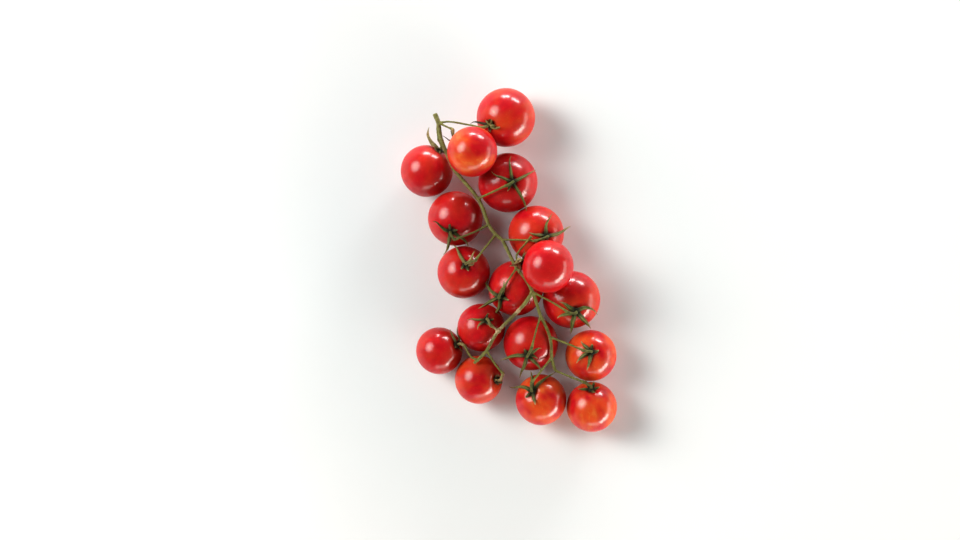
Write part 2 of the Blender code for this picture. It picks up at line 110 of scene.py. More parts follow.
# The place of each knuckle from its hub
KNUCKLES = {
    1: (-3.6, -1.5, 1.6),
    2: (-2.4, 5.9, -1.2),
    3: (-0.2, 6.2, 0.6),
    4: (-3.4, -2.2, 2.9),
    5: (2.5, -4.3, 1.3),
    6: (-6.0, -2.6, 3.9),
    7: (-3.6, -2.2, -4.4),
    8: (5.6, 2.9, 2.3),
    9: (0.9, 4.4, 5.3),
    10: (-4.3, -0.6, 2.9),
    11: (2.8, -3.0, 3.9),
    12: (4.3, -0.3, 3.3),
    13: (3.2, 3.9, 2.2),
    14: (2.2, 4.4, 4.9),
    15: (-4.6, 1.2, 3.0),
    16: (-0.5, 5.4, 3.0),
    17: (-4.7, 4.4, 3.4),
}

# Each sepal: azimuth about the fruit's axis from its downhill side, length, how far it
# turns sideways, its droop (1 hugs the skin, below 0 lifts off) and how far its tip rolls up.
SEPALS = {
    1: [
        (135, 10, 30, 0.9, 100), (233, 5, 0, 0.2, 230), (180, 6, -40, 0.7, 230),
        (322, 14, 30, 0.9, 50), (70, 4, 0, 1, 0),
    ],
    2: [
        (185, 9, 40, 0.3, 230), (150, 11, 20, 0.9, 100), (40, 7, 0, 1, 0),
        (290, 6, 0, 1, 0), (240, 6, 0, 0.8, 0),
    ],
    3: [
        (72, 15.5, -20, -0.4, 35), (130, 5, 0, 0.9, 70), (200, 5, 0, 1, 0),
        (280, 6, 0, 1, 0), (350, 7, 0, 1, 0),
    ],
    4: [
        (108, 15, -8, 0.95, 35), (35, 16, 5, 0.95, 35), (313, 21.5, 12, 0.85, 20),
        (168, 13, -8, 0.95, 35), (250, 6, 0, 1, 0),
    ],
    5: [
        (262, 12, -30, 0.9, 70), (202, 8, -10, 0.6, 150), (3, 16.5, 0, 0.5, 35),
        (68, 15, -30, 0.95, 35), (130, 5, 0, 1, 70),
    ],
    6: [
        (105, 13, -15, 0.9, 35), (30, 18, 5, 0.85, 35), (192, 10.5, -6, 0.95, 35),
        (300, 8, 0, 1, 20), (250, 5, 0, 1, 20),
    ],
    7: [
        (150, 11, 0, -1.2, 20), (220, 9, 0, 0.9, 35), (95, 8, 0, 0.9, 35),
        (25, 6, 0, 1, 0), (310, 7, 0, 1, 0),
    ],
    8: [
        (44, 16, -8, 0.95, 35), (338, 9.5, 10, 0.9, 70), (285, 6, 15, 0.8, 150),
        (150, 4.5, 0, 1, 70), (215, 4.5, 0, 1, 70),
    ],
    9: [
        (310, 17, -8, 0.8, 35), (357, 15, 8, -0.9, 35), (40, 16, -8, 0.6, 35),
        (218, 10.5, 0, 0.9, 35), (138, 6, 0, 1, 35),
    ],
    10: [
        (222, 11, 6, 0.9, 35), (90, 13, -35, 0.9, 50), (26, 18.5, -4, 0.9, 20),
        (338, 18.5, 12, 0.9, 20), (276, 11, -15, 0.9, 50),
    ],
    11: [
        (119, 11, 10, 0.95, 50), (155, 8, 10, 0.95, 50), (25, 5, 0, -0.6, 150),
        (305, 5, 0, 0.9, 150), (227, 4, 0, 1, 70),
    ],
    12: [
        (97, 10, 15, 0.9, 70), (40, 12, 12, 0.1, 70), (0, 10.5, 0, -0.4, 70),
        (200, 4, 0, 1, 35), (290, 5, 0, 1, 35),
    ],
    13: [
        (110, 5, 0, 0.5, 230), (180, 5, 0, 0.6, 230), (245, 4.5, 0, 0.5, 230),
        (325, 4.5, 0, 0.5, 230), (40, 4.5, 0, 0.5, 230),
    ],
    14: [
        (302, 18, 10, 0.8, 35), (3, 17, 4, 0.7, 35), (59, 14.5, 0, 0.95, 35),
        (145, 9, 0, 0.9, 35), (105, 6, -10, 1, 35), (225, 4.5, 0, 1, 35),
    ],
    15: [
        (100, 10.5, 8, 0.95, 35), (153, 10.5, 0, 0.95, 35), (260, 5, 0, 0.8, 100),
        (30, 8.5, 4, 0.9, 35), (340, 5, 0, 0.8, 100),
    ],
    16: [
        (22, 17.5, 6, 0.8, 35), (327, 14.5, -4, 0.95, 35), (282, 20, 6, 0.95, 35),
        (90, 6, 25, 0.9, 100), (151, 8.5, -15, 0.95, 50),
    ],
    17: [
        (84, 7.5, 4, 0.9, 50), (20, 8.5, 0, 0.9, 50), (330, 5.5, 0, 0.5, 150),
        (200, 5, 0, 0.9, 70), (270, 5, 0, 0.9, 70),
    ],
}
# Sepals unlike the rest of their calyx, by fruit and place in its list: how broad
# beside the others, how dry, and how much painted shade darkens it, from 0 to 1.
# Below 0 its foot gets no painted shade.
ODD_SEPALS = {
    (1, 0): (0.7, 0.3, -1.0), (1, 1): (1.6, 0.3, -1.0),
    (1, 2): (1.7, 0.3, -1.0), (1, 3): (0.5, 0.6, 0.9),
    (2, 0): (0.6, 1.0, 0.8), (2, 1): (0.6, 1.0, 0.8),
    (2, 2): (1.0, 0.2, 0.2), (2, 3): (1.0, 1.0, 0.7),
    (3, 0): (1.8, 0.6, -1.0), (3, 1): (1.0, 0.9, 0.4), (3, 4): (1.2, 0.9, 0.4),
    (5, 0): (0.9, 0.1, 0.5), (5, 1): (0.7, 0.2, 0.6), (5, 4): (1.0, 0.3, 0.7),
    (7, 0): (2.2, 1.0, -1.0), (7, 1): (1.0, 0.9, 0.6), (7, 2): (1.0, 0.9, 0.8),
    (8, 0): (1.0, 0.4, -1.0), (8, 1): (0.8, 1.0, -1.0), (8, 2): (0.8, 1.0, -1.0),
    (12, 1): (0.7, 0.3, 0.4), (12, 2): (1.0, 0.8, -1.0),
    (13, 0): (1.0, 0.8, 0.6), (13, 1): (1.0, 0.8, 0.2),
    (13, 2): (1.0, 0.8, 0.7), (13, 3): (1.0, 0.8, 0.5),
}

# The pale, corky places on the vine, and how far each one spreads
WOODY_SPOTS = {
    "branch_knot": ((-6.1, -39.2, 26.5), 3.2),
    "bract_scar": ((5.0, -28.2, 27.8), 1.8),
}

# Relief of a fruit. Its ribs fade in and out at these angles from its axis, in radians.
RIB_HEIGHT = 0.05
RIB_COUNT = 5
RIB_START = 0.2
RIB_END = 0.55
SCAR_DEPTH = 0.25  # the scar at the blossom end
SCAR_RADIUS = 0.8
SWELL = 0.006  # how uneven the outline is, as a share of the radius
SWELL_SCALE = 1.1
SWELL_SHIFT = 7.3  # sets each fruit's swell apart from the next one's

# Relief of a sepal
SWAY = 5  # degrees to either side
SWAY_WAVE = 5.5
HOOK = 9  # degrees that the tip turns aside
HOOK_START = 0.6
HOOK_SQUARE = 0.16  # the square of what is left after HOOK_START
ROLL_POWER = 1.3
MOST_TWIST = 0.8  # radians, at the tip
FOLD = (0.6, 1.0)
FOLD_POWER = 1.15
FOLD_MIDDLE = 0.45
RAGGEDNESS = 0.16
RAGGED_WAVE = 7
RIM_WAVINESS = 0.16
RIM_WAVE = 16
RIM_SLANT = 2.5
LEAF_BASE = 0.85  # its width at the hub, beside SEPAL_WIDTH
LEAST_HALF_WIDTH = 0.1
THINNING = 0.55
EDGE_THINNING = 0.75
FRUIT_MARGIN = 0.1  # what a sepal keeps from the other fruits, beyond the gap

# The hub's outline, from its foot to its collar, as shares of its radius and height
HUB_PROFILE = (
    (0.61, 0.0), (0.85, 0.15), (1.0, 0.38), (1.02, 0.6), (0.93, 0.82),
    (0.76, 0.97), (0.58, 1.04), (0.46, 1.16), (0.42, 1.5), (0.2, 1.55),
)
HUB_LOBES = 0.14  # how far they stand out
HUB_LOBE_MIDDLE = 0.6  # the cosine, from a lobe, at which the outline is plain
HUB_ROUND = 0.6  # twice the share of its radius at which the lobes vanish

# The neck, from its knuckle
KNUCKLE_SEARCH = 1.5  # the pedicel's end lies this near
NECK_TUCK = 0.35  # how far back from the knuckle it starts, in the pedicel's end
NECK_LEAD = 0.6  # how far it runs straight on
KNUCKLE_PLACE = 0.5
KNUCKLE_LENGTH = 1.3
NECK_BUMPS = 0.06
NECK_BUMP_SCALE = 3
NECK_DRYNESS = 0.55
NECK_DRY_LENGTH = 1.6

# Relief of the vine
BARK_PROUD = 0.07  # beyond the smoothed solid
BARK_BUMPS = ((0.1, 1.8), (0.1, 0.5))  # height and scale
MOST_GIRTH = 3.0
RAY_START = 0.1  # under the surface, so that a ray does not meet its own face

# Mesh fineness
FRUIT_SEGMENTS = 72
FRUIT_RINGS = 44
SEAT_SAMPLES = (60, 90)  # down and around a fruit, when it is seated
CLEAR_ROUNDS = 4
RING_CROWDING = 0.45  # how much closer the rings lie at the ends of the axis
SEPAL_STATIONS = 26
SEPAL_POINTS_ACROSS = 9
HUB_SEGMENTS = 40
NECK_SIDES = 12
NECK_STEP = 0.5
VINE_VOXEL = 0.22
VINE_SMOOTHING = (0.5, 10)  # factor and rounds

# Materials. Most noise stays between these two values.
NOISE_LOW = 0.3
NOISE_HIGH = 0.7
MIX_FIRST, MIX_SECOND, MIX_RESULT = 6, 7, 2  # the colour sockets of a Mix node

# Studio
CAMERA_OFFSET = (-16.2, -5.45)  # the view's middle from the truss's middle
CAMERA_HEIGHT = 1000.0
FRAME_WIDTH = 537.6  # how wide the view is at FRAME_LEVEL above the table
FRAME_LEVEL = 15.0
SENSOR_WIDTH = 36.0
LIGHT_DISTANCE = 3.2  # metres
KEY_AZIMUTH, KEY_ELEVATION = 158, 36
KEY_TINT = (1, 0.88, 0.72)
FILL_TINT = (1, 0.96, 0.88)
HORIZON_COLOUR = (0.72, 0.72, 0.69, 1)
OVERHEAD_COLOUR = (0.12, 0.12, 0.112, 1)
OVERHEAD_START = 0.8
ROOM_STRENGTH = 0.34
TABLE_HALF = 3.0  # metres
TABLE_LEVEL = -0.00002  # metres, a hair under the lowest fruit
TABLE_PAINTED_FALLOFF = (0.10, 0.19)  # metres from the truss's middle, where painted shade gives way to painted light
# Painted shade near the truss, tinted blue-green against the red light the fruit throws on the
# table; painted light farther off.
TABLE_SHADED_TONE = (0.87, 0.925, 0.935, 1)
TABLE_BRIGHTENED_TONE = (0.97, 0.985, 0.985, 1)


class Fruit:
    """One fruit's size and attitude, seated on its CAD node's box."""

    def __init__(self, number):
        diameter, heading, tilt, self.unripe, self.dryness, self.breadth = FRUITS[number]
        self.number = number
        self.node = f"tomato_{number:02d}"
        self.radius = diameter / 2
        turn_heading = Matrix.Rotation(math.radians(heading), 3, "Z")
        self.turn = turn_heading @ Matrix.Rotation(math.radians(tilt), 3, "Y")
        self.axis = self.turn @ Vector((0, 0, 1))
        self.centre = self.seat()

    def skin(self, polar):
        """Distance from the middle to the skin, at this angle from the fruit's axis."""
        round_part = self.radius * (1 - (1 - FRUIT_ROUNDNESS) * np.cos(polar) ** 2)
        from_pole = polar * self.radius / DIMPLE_RADIUS
        return round_part - DIMPLE_DEPTH * np.exp(-(from_pole**2))

    def skin_towards(self, direction):
        return self.skin(direction.angle(self.axis))

    def seat(self):
        """The middle that puts the fruit's sides and top on those of its CAD node."""
        low, high = (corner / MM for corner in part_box(self.node))
        down, around = SEAT_SAMPLES
        polar, azimuth = np.meshgrid(np.linspace(0, np.pi, down), np.linspace(0, 2 * np.pi, around))
        points = (self.skin(polar) * unit(polar, azimuth)).reshape(3, -1)
        reach = np.array(self.turn) @ points
        middle = (low + high) / 2 - Vector((reach.min(1) + reach.max(1)) / 2)
        middle.z = high.z - reach[2].max()
        return middle

    def to_world(self, point):
        return self.centre + self.turn @ point

    def hub_base(self):
        return self.skin(HUB_FOOT_DIAMETER / 2 / self.radius) + GAP

    def hub(self):
        return self.to_world(Vector((0, 0, self.hub_base() + HUB_HEIGHT / 2)))


def unit(polar, azimuth):
    """Unit vectors as the three rows of an array."""
    across = np.sin(polar)
    return np.array([across * np.cos(azimuth), across * np.sin(azimuth), np.cos(polar)])


def keep_clear(point, half_width, fruits):
    """Moves a point out of every fruit, far enough for a piece this thick."""
    for _ in range(CLEAR_ROUNDS):
        for fruit in fruits:
            outward = point - fruit.centre
            if outward.length < fruit.radius + half_width + GAP:
                needed = fruit.skin_towards(outward) + half_width + GAP
                if outward.length < needed:
                    point = fruit.centre + outward.normalized() * needed
    return point


def smooth_course(points, step):
    """Points about a step apart on one smooth curve through the points given."""
    course = [points[0]]
    padded = [2 * points[0] - points[1], *points, 2 * points[-1] - points[-2]]
    for before, start, end, after in zip(padded, padded[1:], padded[2:], padded[3:]):
        count = max(2, round((end - start).length / step))
        leave = (end - before) / 2 * min(1, (end - start).length / (start - before).length)
        reach = (after - start) / 2 * min(1, (end - start).length / (after - end).length)
        for i in range(1, count + 1):
            t = i / count
            course.append(
                start * (2 * t**3 - 3 * t**2 + 1)
                + leave * (t**3 - 2 * t**2 + t)
                + end * (3 * t**2 - 2 * t**3)
                + reach * (t**3 - t**2)
            )
    return course


def lengths_along(course):
    total = [0.0]
    for start, end in zip(course, course[1:]):
        total.append(total[-1] + (end - start).length)
    return total


# Meshes. A shell is rings of points with, for each point, the values of its attributes.


class Shells:
    """Closed shells gathered into one mesh, with a number per point for each attribute."""

    def __init__(self, *attributes):
        self.points, self.faces = [], []
        self.values = {name: [] for name in attributes}

    def add(self, rings, **values):
        """Rings of equal counts, capped at both ends. A value is one number or one per point."""
        start, count = len(self.points), len(rings[0])
        total = count * len(rings)
        self.points += [point for ring in rings for point in ring]
        for name, kept in self.values.items():
            value = values.get(name, 0.0)
            kept += value if isinstance(value, list) else [value] * total
        for row in range(len(rings) - 1):
            for i in range(count):
                here, after = start + row * count + i, start + row * count + (i + 1) % count
                self.faces.append((here, after, after + count, here + count))
        self.faces.append(tuple(start + i for i in reversed(range(count))))
        self.faces.append(tuple(start + total - count + i for i in range(count)))

    def piece(self, name, surface):
        return new_piece(name, self.points, self.faces, surface, self.values)


def new_piece(name, points, faces, surface, values):
    """An object in metres from points in millimetres, smooth, with its attributes."""
    mesh = bpy.data.meshes.new(name)
    mesh.from_pydata([Vector(point) * MM for point in points], [], faces)
    for key, numbers in values.items():
        kind = "FLOAT" if np.ndim(numbers[0]) == 0 else "FLOAT_VECTOR"
        layer = mesh.attributes.new(key, kind, "POINT")
        layer.data.foreach_set("value" if kind == "FLOAT" else "vector", np.ravel(numbers))
    mesh.shade_smooth()
    mesh.materials.append(surface)
    made = bpy.data.objects.new(name, mesh)
    bpy.context.scene.collection.objects.link(made)
    return made


def fruit_piece(fruit, surface):
    """The fruit: faint ribs on its shoulders, an uneven swell and a blossom scar."""
    share = np.linspace(0, 1, FRUIT_RINGS + 1)[1:-1]
    polars = np.pi * (share - RING_CROWDING * np.sin(2 * np.pi * share) / (2 * np.pi))
    turns = 2 * np.pi * np.arange(FRUIT_SEGMENTS) / FRUIT_SEGMENTS
    apart = Vector((fruit.number * SWELL_SHIFT, 0, 0))
    points, own = [], []
    for polar in (0.0, *polars, np.pi):
        around = turns if 0 < polar < np.pi else turns[:1]
        fade_in = 1 - math.exp(-((polar / RIB_START) ** 2))
        ribs = RIB_HEIGHT * np.exp(-((polar / RIB_END) ** 2)) * fade_in
        scar = SCAR_DEPTH * math.exp(-(((np.pi - polar) * fruit.radius / SCAR_RADIUS) ** 2))
        for azimuth in around:
            direction = Vector(unit(polar, azimuth))
            swell = SWELL * fruit.radius * noise.noise(direction * SWELL_SCALE + apart)
            ripple = ribs * math.sin(RIB_COUNT * azimuth + fruit.number)
            reach = fruit.skin(polar) + swell + ripple - scar
            place = fruit.to_world(direction * reach)
            place.z = max(place.z, 0.0)
            points.append(place)
            own.append(direction)
    last = len(points) - 1
    faces = [(0, 1 + i, 1 + (i + 1) % FRUIT_SEGMENTS) for i in range(FRUIT_SEGMENTS)]
    for row in range(len(polars) - 1):
        start = 1 + row * FRUIT_SEGMENTS
        for i in range(FRUIT_SEGMENTS):
            here, after = start + i, start + (i + 1) % FRUIT_SEGMENTS
            faces.append((here, here + FRUIT_SEGMENTS, after + FRUIT_SEGMENTS, after))
    start = last - FRUIT_SEGMENTS
    faces += [(start + (i + 1) % FRUIT_SEGMENTS, start + i, last) for i in range(FRUIT_SEGMENTS)]
    count = len(points)
    values = {"own": own, "unripe": [fruit.unripe] * count, "fruit": [float(fruit.number)] * count}
    return new_piece(f"fruit_{fruit.number:02d}", points, faces, surface, values)


def sepal_course(fruit, azimuth, length, turn_aside, droop, roll, others, chance):
    """The places along a sepal's middle, and the sideways direction at each."""
    clearance = GAP + SEPAL_THICKNESS / 2 + SEPAL_LIFT
    base_height = fruit.hub_base() + HUB_HEIGHT / 2
    shoulder = fruit.radius * FRUIT_ROUNDNESS + clearance
    out, height = 0.0, shoulder
    step = length / (SEPAL_STATIONS - 1)
    sway, hook = chance.uniform(-1, 1), chance.uniform(-1, 1)
    centres, sides = [], []
    for i in range(SEPAL_STATIONS):
        share = i / (SEPAL_STATIONS - 1)
        hooked = HOOK * hook * max(0, share - HOOK_START) ** 2 / HOOK_SQUARE
        wander = SWAY * sway * math.sin(SWAY_WAVE * share) + hooked
        heading = math.radians(azimuth + turn_aside * (share - 0.5) + wander)
        outward = Vector((math.cos(heading), math.sin(heading), 0))
        centre = outward * out + Vector((0, 0, height))
        centre.z -= (shoulder - base_height) * math.exp(-((out / (HUB_DIAMETER / 2)) ** 2))
        least = fruit.skin(centre.angle(Vector((0, 0, 1)))) + clearance
        if centre.length < least and i:
            centre = centre.normalized() * least
        world = keep_clear(fruit.to_world(centre), SEPAL_THICKNESS / 2 + FRUIT_MARGIN, others)
        centres.append(world)
        sides.append(fruit.turn @ Vector((-outward.y, outward.x, 0)))
        into_roll = max(0, (share - ROLL_START) / (1 - ROLL_START))
        rolled = math.radians(roll) * into_roll**ROLL_POWER
        slope = droop * out / fruit.radius - rolled
        out += step * math.cos(slope)
        height -= step * math.sin(slope)
    return centres, sides


def add_sepal(shells, fruit, index, others, chance):
    """A pointed leaf, ridged along its middle, with wavy rims and a twisted dry tip."""
    sepal = SEPALS[fruit.number][index]
    broad, dry, painted_shade_level = ODD_SEPALS.get((fruit.number, index), (1, fruit.dryness, 0))
    centres, sides = sepal_course(fruit, *sepal, others, chance)
    across = np.linspace(-1, 1, SEPAL_POINTS_ACROSS)
    phase, twist = chance.uniform(0, 6.28), chance.uniform(-MOST_TWIST, MOST_TWIST)
    fold = chance.uniform(*FOLD)
    rings, tips, ridges, painted_shades = [], [], [], []
    for i, (centre, side) in enumerate(zip(centres, sides)):
        share = i / (SEPAL_STATIONS - 1)
        along = centres[min(i + 1, len(centres) - 1)] - centres[max(i - 1, 0)]
        up = along.cross(side).normalized()
        ragged = 1 + RAGGEDNESS * noise.noise(Vector((share * RAGGED_WAVE, phase, fruit.number)))
        leaf = (LEAF_BASE + share) * (1 - share)
        half_width = broad * fruit.breadth * SEPAL_WIDTH / 2 * leaf * ragged + LEAST_HALF_WIDTH
        thick = SEPAL_THICKNESS / 2 * (1 - THINNING * share)
        turn = Matrix.Rotation(twist * share**2, 3, along)
        side, up = turn @ side, turn @ up
        top, bottom = [], []
        for u in across:
            sag = fold * half_width * (abs(u) ** FOLD_POWER - FOLD_MIDDLE)
            wave = math.sin(RIM_WAVE * share + phase + RIM_SLANT * u)
            rim = RIM_WAVINESS * half_width * wave * abs(u)
            middle = centre + side * half_width * u - up * (sag + rim)
            edge = 1 - EDGE_THINNING * u**2
            top.append(middle + up * thick * edge)
            bottom.append(middle - up * thick * edge)
        rings.append(top[::-1] + bottom)
        tips += [share] * (2 * len(across))
        ridges += [1 - abs(u) for u in across] + [0.0] * len(across)
        # Painted shade: each sepal darkens towards the hub, and a sepal listed above as shaded is
        # darkened all along.
        from_hub = share * sepal[1] / PAINTED_SHADE_RADIUS
        heart = 0.0 if painted_shade_level < 0 else max(painted_shade_level, math.exp(-(from_hub**3)))
        painted_shades += [heart] * (2 * len(across))
    shells.add(rings, tip=tips, ridge=ridges, heart=painted_shades, dry=dry)


def add_hub(shells, fruit):
    """The hub: a low, five-lobed button with a collar round the neck."""
    bottom = fruit.hub_base()
    turns = [2 * math.pi * i / HUB_SEGMENTS for i in range(HUB_SEGMENTS)]
    lobes = [math.radians(sepal[0]) for sepal in SEPALS[fruit.number]]
    rings = []
    for across, up in HUB_PROFILE:
        ring = []
        for a in turns:
            near = max(math.cos(a - lobe) for lobe in lobes)
            bulge = 1 + HUB_LOBES * (near - HUB_LOBE_MIDDLE) * min(1, 2 * across - HUB_ROUND)
            radius = across * HUB_DIAMETER / 2 * bulge
            place = Vector((radius * math.cos(a), radius * math.sin(a), bottom + up * HUB_HEIGHT))
            ring.append(fruit.to_world(place))
        rings.append(ring)
    # The hub is darkened with painted shade.
    shells.add(rings, tip=0.05, ridge=0.35, heart=0.9, dry=0.5 * fruit.dryness)


def add_neck(shells, fruit, fruits, vine_points):
    """The end of the pedicel, from the swollen knuckle that it breaks at to the hub."""
    hub = fruit.hub()
    knuckle = keep_clear(hub + Vector(KNUCKLES[fruit.number]), KNUCKLE_DIAMETER / 2, fruits)
    distance = np.linalg.norm(vine_points - np.array(knuckle), axis=1)
    pedicel_end = Vector(vine_points[distance < KNUCKLE_SEARCH].mean(0))
    along = (knuckle - pedicel_end).normalized()
    start = knuckle - along * NECK_TUCK
    rise = hub + fruit.axis * NECK_RISE
    course = smooth_course([start, knuckle + along * NECK_LEAD, rise, hub], NECK_STEP)
    lengths = lengths_along(course)
    normal = (course[1] - course[0]).orthogonal().normalized()
    rings, tips = [], []
    for i, (point, length) in enumerate(zip(course, lengths)):
        tangent = (course[min(i + 1, len(course) - 1)] - course[max(i - 1, 0)]).normalized()
        normal = (normal - tangent * normal.dot(tangent)).normalized()
        side = tangent.cross(normal)
        swell = math.exp(-(((length - KNUCKLE_PLACE) / KNUCKLE_LENGTH) ** 2))
        radius = (NECK_DIAMETER + (KNUCKLE_DIAMETER - NECK_DIAMETER) * swell) / 2
        ring = []
        for j in range(NECK_SIDES):
            a = 2 * math.pi * j / NECK_SIDES
            across, up = NECK_BUMP_SCALE * math.cos(a), NECK_BUMP_SCALE * math.sin(a)
            around = Vector((across, up, length))
            bumpy = 1 + NECK_BUMPS * noise.noise(around + point)
            ring.append(point + radius * bumpy * (normal * math.cos(a) + side * math.sin(a)))
        rings.append(ring)
        tips += [NECK_DRYNESS * math.exp(-((length / NECK_DRY_LENGTH) ** 2))] * NECK_SIDES
    shells.add(rings, tip=tips, ridge=0.5, dry=fruit.dryness)


def calyx_piece(fruit, fruits, vine_points, surface):
    """A calyx: its sepals, its hub and the neck that ties it to the vine."""
    others = [other for other in fruits if other is not fruit]
    shells = Shells("tip", "ridge", "heart", "dry")
    for index in range(len(SEPALS[fruit.number])):
        chance = random.Random(100 * fruit.number + index)
        add_sepal(shells, fruit, index, others, chance)
    add_hub(shells, fruit)
    add_neck(shells, fruit, fruits, vine_points)
    return shells.piece(f"crown_{fruit.number:02d}", surface)


def vine_piece(surface):
    """The vine, grown together at its forks, with fine bumps and its girth recorded."""
    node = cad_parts["vine"]
    made = bpy.data.objects.new("stem", node.data.copy())
    bpy.context.scene.collection.objects.link(made)
    remesh = made.modifiers.new("grown_together", "REMESH")
    remesh.mode = "VOXEL"
    remesh.voxel_size = VINE_VOXEL * MM
    smooth = made.modifiers.new("rounded", "SMOOTH")
    smooth.factor, smooth.iterations = VINE_SMOOTHING
    evaluated = made.evaluated_get(bpy.context.evaluated_depsgraph_get())
    mesh = bpy.data.meshes.new_from_object(evaluated)
    made.modifiers.clear()
    made.data = mesh
    solid = BVHTree.FromObject(made, bpy.context.evaluated_depsgraph_get())
    girths, corky, places = [], [], []
    for vertex in mesh.vertices:
        inward = -vertex.normal
        _, _, _, depth = solid.ray_cast(vertex.co + inward * RAY_START * MM, inward)
        girth = min(MOST_GIRTH, (depth or MM) / MM + RAY_START)
        place = vertex.co / MM
        bump = sum(height * noise.noise(place * scale) for height, scale in BARK_BUMPS)
        girths.append(girth)
        near = (((place - Vector(spot)).length, reach) for spot, reach in WOODY_SPOTS.values())
        corky.append(max(math.exp(-(apart / reach) ** 2) for apart, reach in near))
        places.append(vertex.co + vertex.normal * (BARK_PROUD + bump) * MM)
    mesh.vertices.foreach_set("co", np.ravel(places))
    for name, numbers in (("girth", girths), ("corky", corky)):
        mesh.attributes.new(name, "FLOAT", "POINT").data.foreach_set("value", numbers)
    mesh.materials.clear()
    mesh.materials.append(surface)
    mesh.shade_smooth()
    return made


# Materials


class Nodes:
    """A material's node tree, built by short calls."""

    def __init__(self, name):
        self.material = bpy.data.materials.new(name)
        self.material.use_nodes = True
        self.tree = self.material.node_tree
        self.shader = self.tree.nodes["Principled BSDF"]

    def add(self, kind, settings=None, **inputs):
        node = self.tree.nodes.new("ShaderNode" + kind)
        for key, value in (settings or {}).items():
            setattr(node, key, value)
        for key, value in inputs.items():
            self.put(value, node.inputs[key.replace("_", " ")])
        return node

    def put(self, value, socket):
        if isinstance(value, bpy.types.NodeSocket):
            self.tree.links.new(value, socket)
        else:
            socket.default_value = value

    def attribute(self, name, output="Fac"):
        return self.add("Attribute", {"attribute_name": name}).outputs[output]

    def noise(self, scale, detail=3.0, coordinates=None, roughness=0.5):
        place = coordinates or self.add("TexCoord").outputs["Object"]
        node = self.add("TexNoise", Vector=place, Scale=scale, Detail=detail, Roughness=roughness)
        return node.outputs["Fac"]

    def span(self, value, low, high, to_low=0.0, to_high=1.0):
        """A value's range from low to high, spread over another range."""
        node = self.add("MapRange", Value=value)
        ends = {"From Min": low, "From Max": high, "To Min": to_low, "To Max": to_high}
        for key, number in ends.items():
            node.inputs[key].default_value = number
        return node.outputs["Result"]

    def even(self, value, to_low=0.0, to_high=1.0):
        """A noise's usual range, spread over another range."""
        return self.span(value, NOISE_LOW, NOISE_HIGH, to_low, to_high)

    def maths(self, operation, first, second):
        node = self.add("Math", {"operation": operation})
        self.put(first, node.inputs[0])
        self.put(second, node.inputs[1])
        return node.outputs["Value"]

    def times(self, first, second):
        return self.maths("MULTIPLY", first, second)

    def mix(self, share, first, second):
        node = self.add("Mix", {"data_type": "RGBA"})
        self.put(share, node.inputs["Factor"])
        self.put(first, node.inputs[MIX_FIRST])
        self.put(second, node.inputs[MIX_SECOND])
        return node.outputs[MIX_RESULT]

    def bump(self, height, distance, strength):
        node = self.add("Bump", Height=height, Distance=distance * MM, Strength=strength)
        return node.outputs["Normal"]

    def finish(self, **inputs):
        """Sets or links the shader's sockets, and gives the material."""
        for key, value in inputs.items():
            self.put(value, self.shader.inputs[key.replace("_", " ")])
        return self.material


def linear(value):
    """The light that a screen value of 0 to 255 stands for, by the sRGB curve."""
    share = value / 255
    return ((share + 0.055) / 1.055) ** 2.4 if value > 10 else share / 12.92


def colour(red, green, blue):
    """A linear colour from screen values of 0 to 255."""
    return (linear(red), linear(green), linear(blue), 1)


def skin_material():
    """Waxy red skin: orange and gold where unripe, faint streaks, tiny specks, and painted shade
    round the stalk end.
    """
    n = Nodes("tomato_skin_fine")
    own = n.attribute("own", "Vector")
    spread = n.add("VectorMath", {"operation": "MULTIPLY"})
    n.put(own, spread.inputs[0])
    spread.inputs[1].default_value = (1.0, 1.0, 0.55)
    shift = n.add("VectorMath", {"operation": "ADD"})
    n.put(spread.outputs[0], shift.inputs[0])
    n.put(n.attribute("fruit"), shift.inputs[1])
    streaks = n.noise(4.5, 4.0, shift.outputs[0], 0.55)
    patches = n.noise(1.15, 2.0, shift.outputs[0], 0.5)
    mottle = n.noise(420.0, 3.0)
    red = n.mix(n.even(mottle), colour(184, 14, 22), colour(195, 19, 25))
    ripe = n.mix(n.span(streaks, 0.35, 0.7), red, colour(170, 10, 21))
    unripe = n.times(n.attribute("unripe"), n.span(patches, 0.4, 0.6))
    orange = n.mix(unripe, ripe, colour(222, 88, 28))
    golden = n.times(n.times(unripe, unripe), n.span(streaks, 0.5, 0.66, 0.0, 0.55))
    warm = n.mix(golden, orange, colour(226, 146, 66))
    everywhere = n.add("TexCoord").outputs["Object"]
    specks = n.add("TexVoronoi", {"feature": "F1"}, Vector=everywhere, Scale=620.0)
    dots = n.span(specks.outputs["Distance"], 0.1, 0.2, 1.0, 0.0)
    faint = n.times(dots, 0.13)
    speckled = n.mix(faint, warm, colour(238, 112, 62))
    up_the_axis = n.add("SeparateXYZ", Vector=own).outputs["Z"]
    # Painted shade: the skin darkens to deep brown-red round the stalk end, where the dimple and
    # calyx shade it.
    skin = n.mix(n.span(up_the_axis, 0.972, 0.99, 0.0, 0.85), speckled, colour(66, 18, 12))
    height = n.maths("ADD", n.times(n.noise(950.0, 2.0), 0.6), n.times(dots, 0.3))
    return n.finish(
        Base_Color=skin,
        Roughness=n.even(mottle, 0.33, 0.4),
        Specular_IOR_Level=0.04,
        Subsurface_Weight=0.4,
        Subsurface_Radius=(1.0, 0.14, 0.07),
        Subsurface_Scale=0.008,
        Coat_Weight=0.27,
        Coat_IOR=2.2,
        Coat_Roughness=0.19,
        Normal=n.bump(height, 0.03, 0.35),
    )


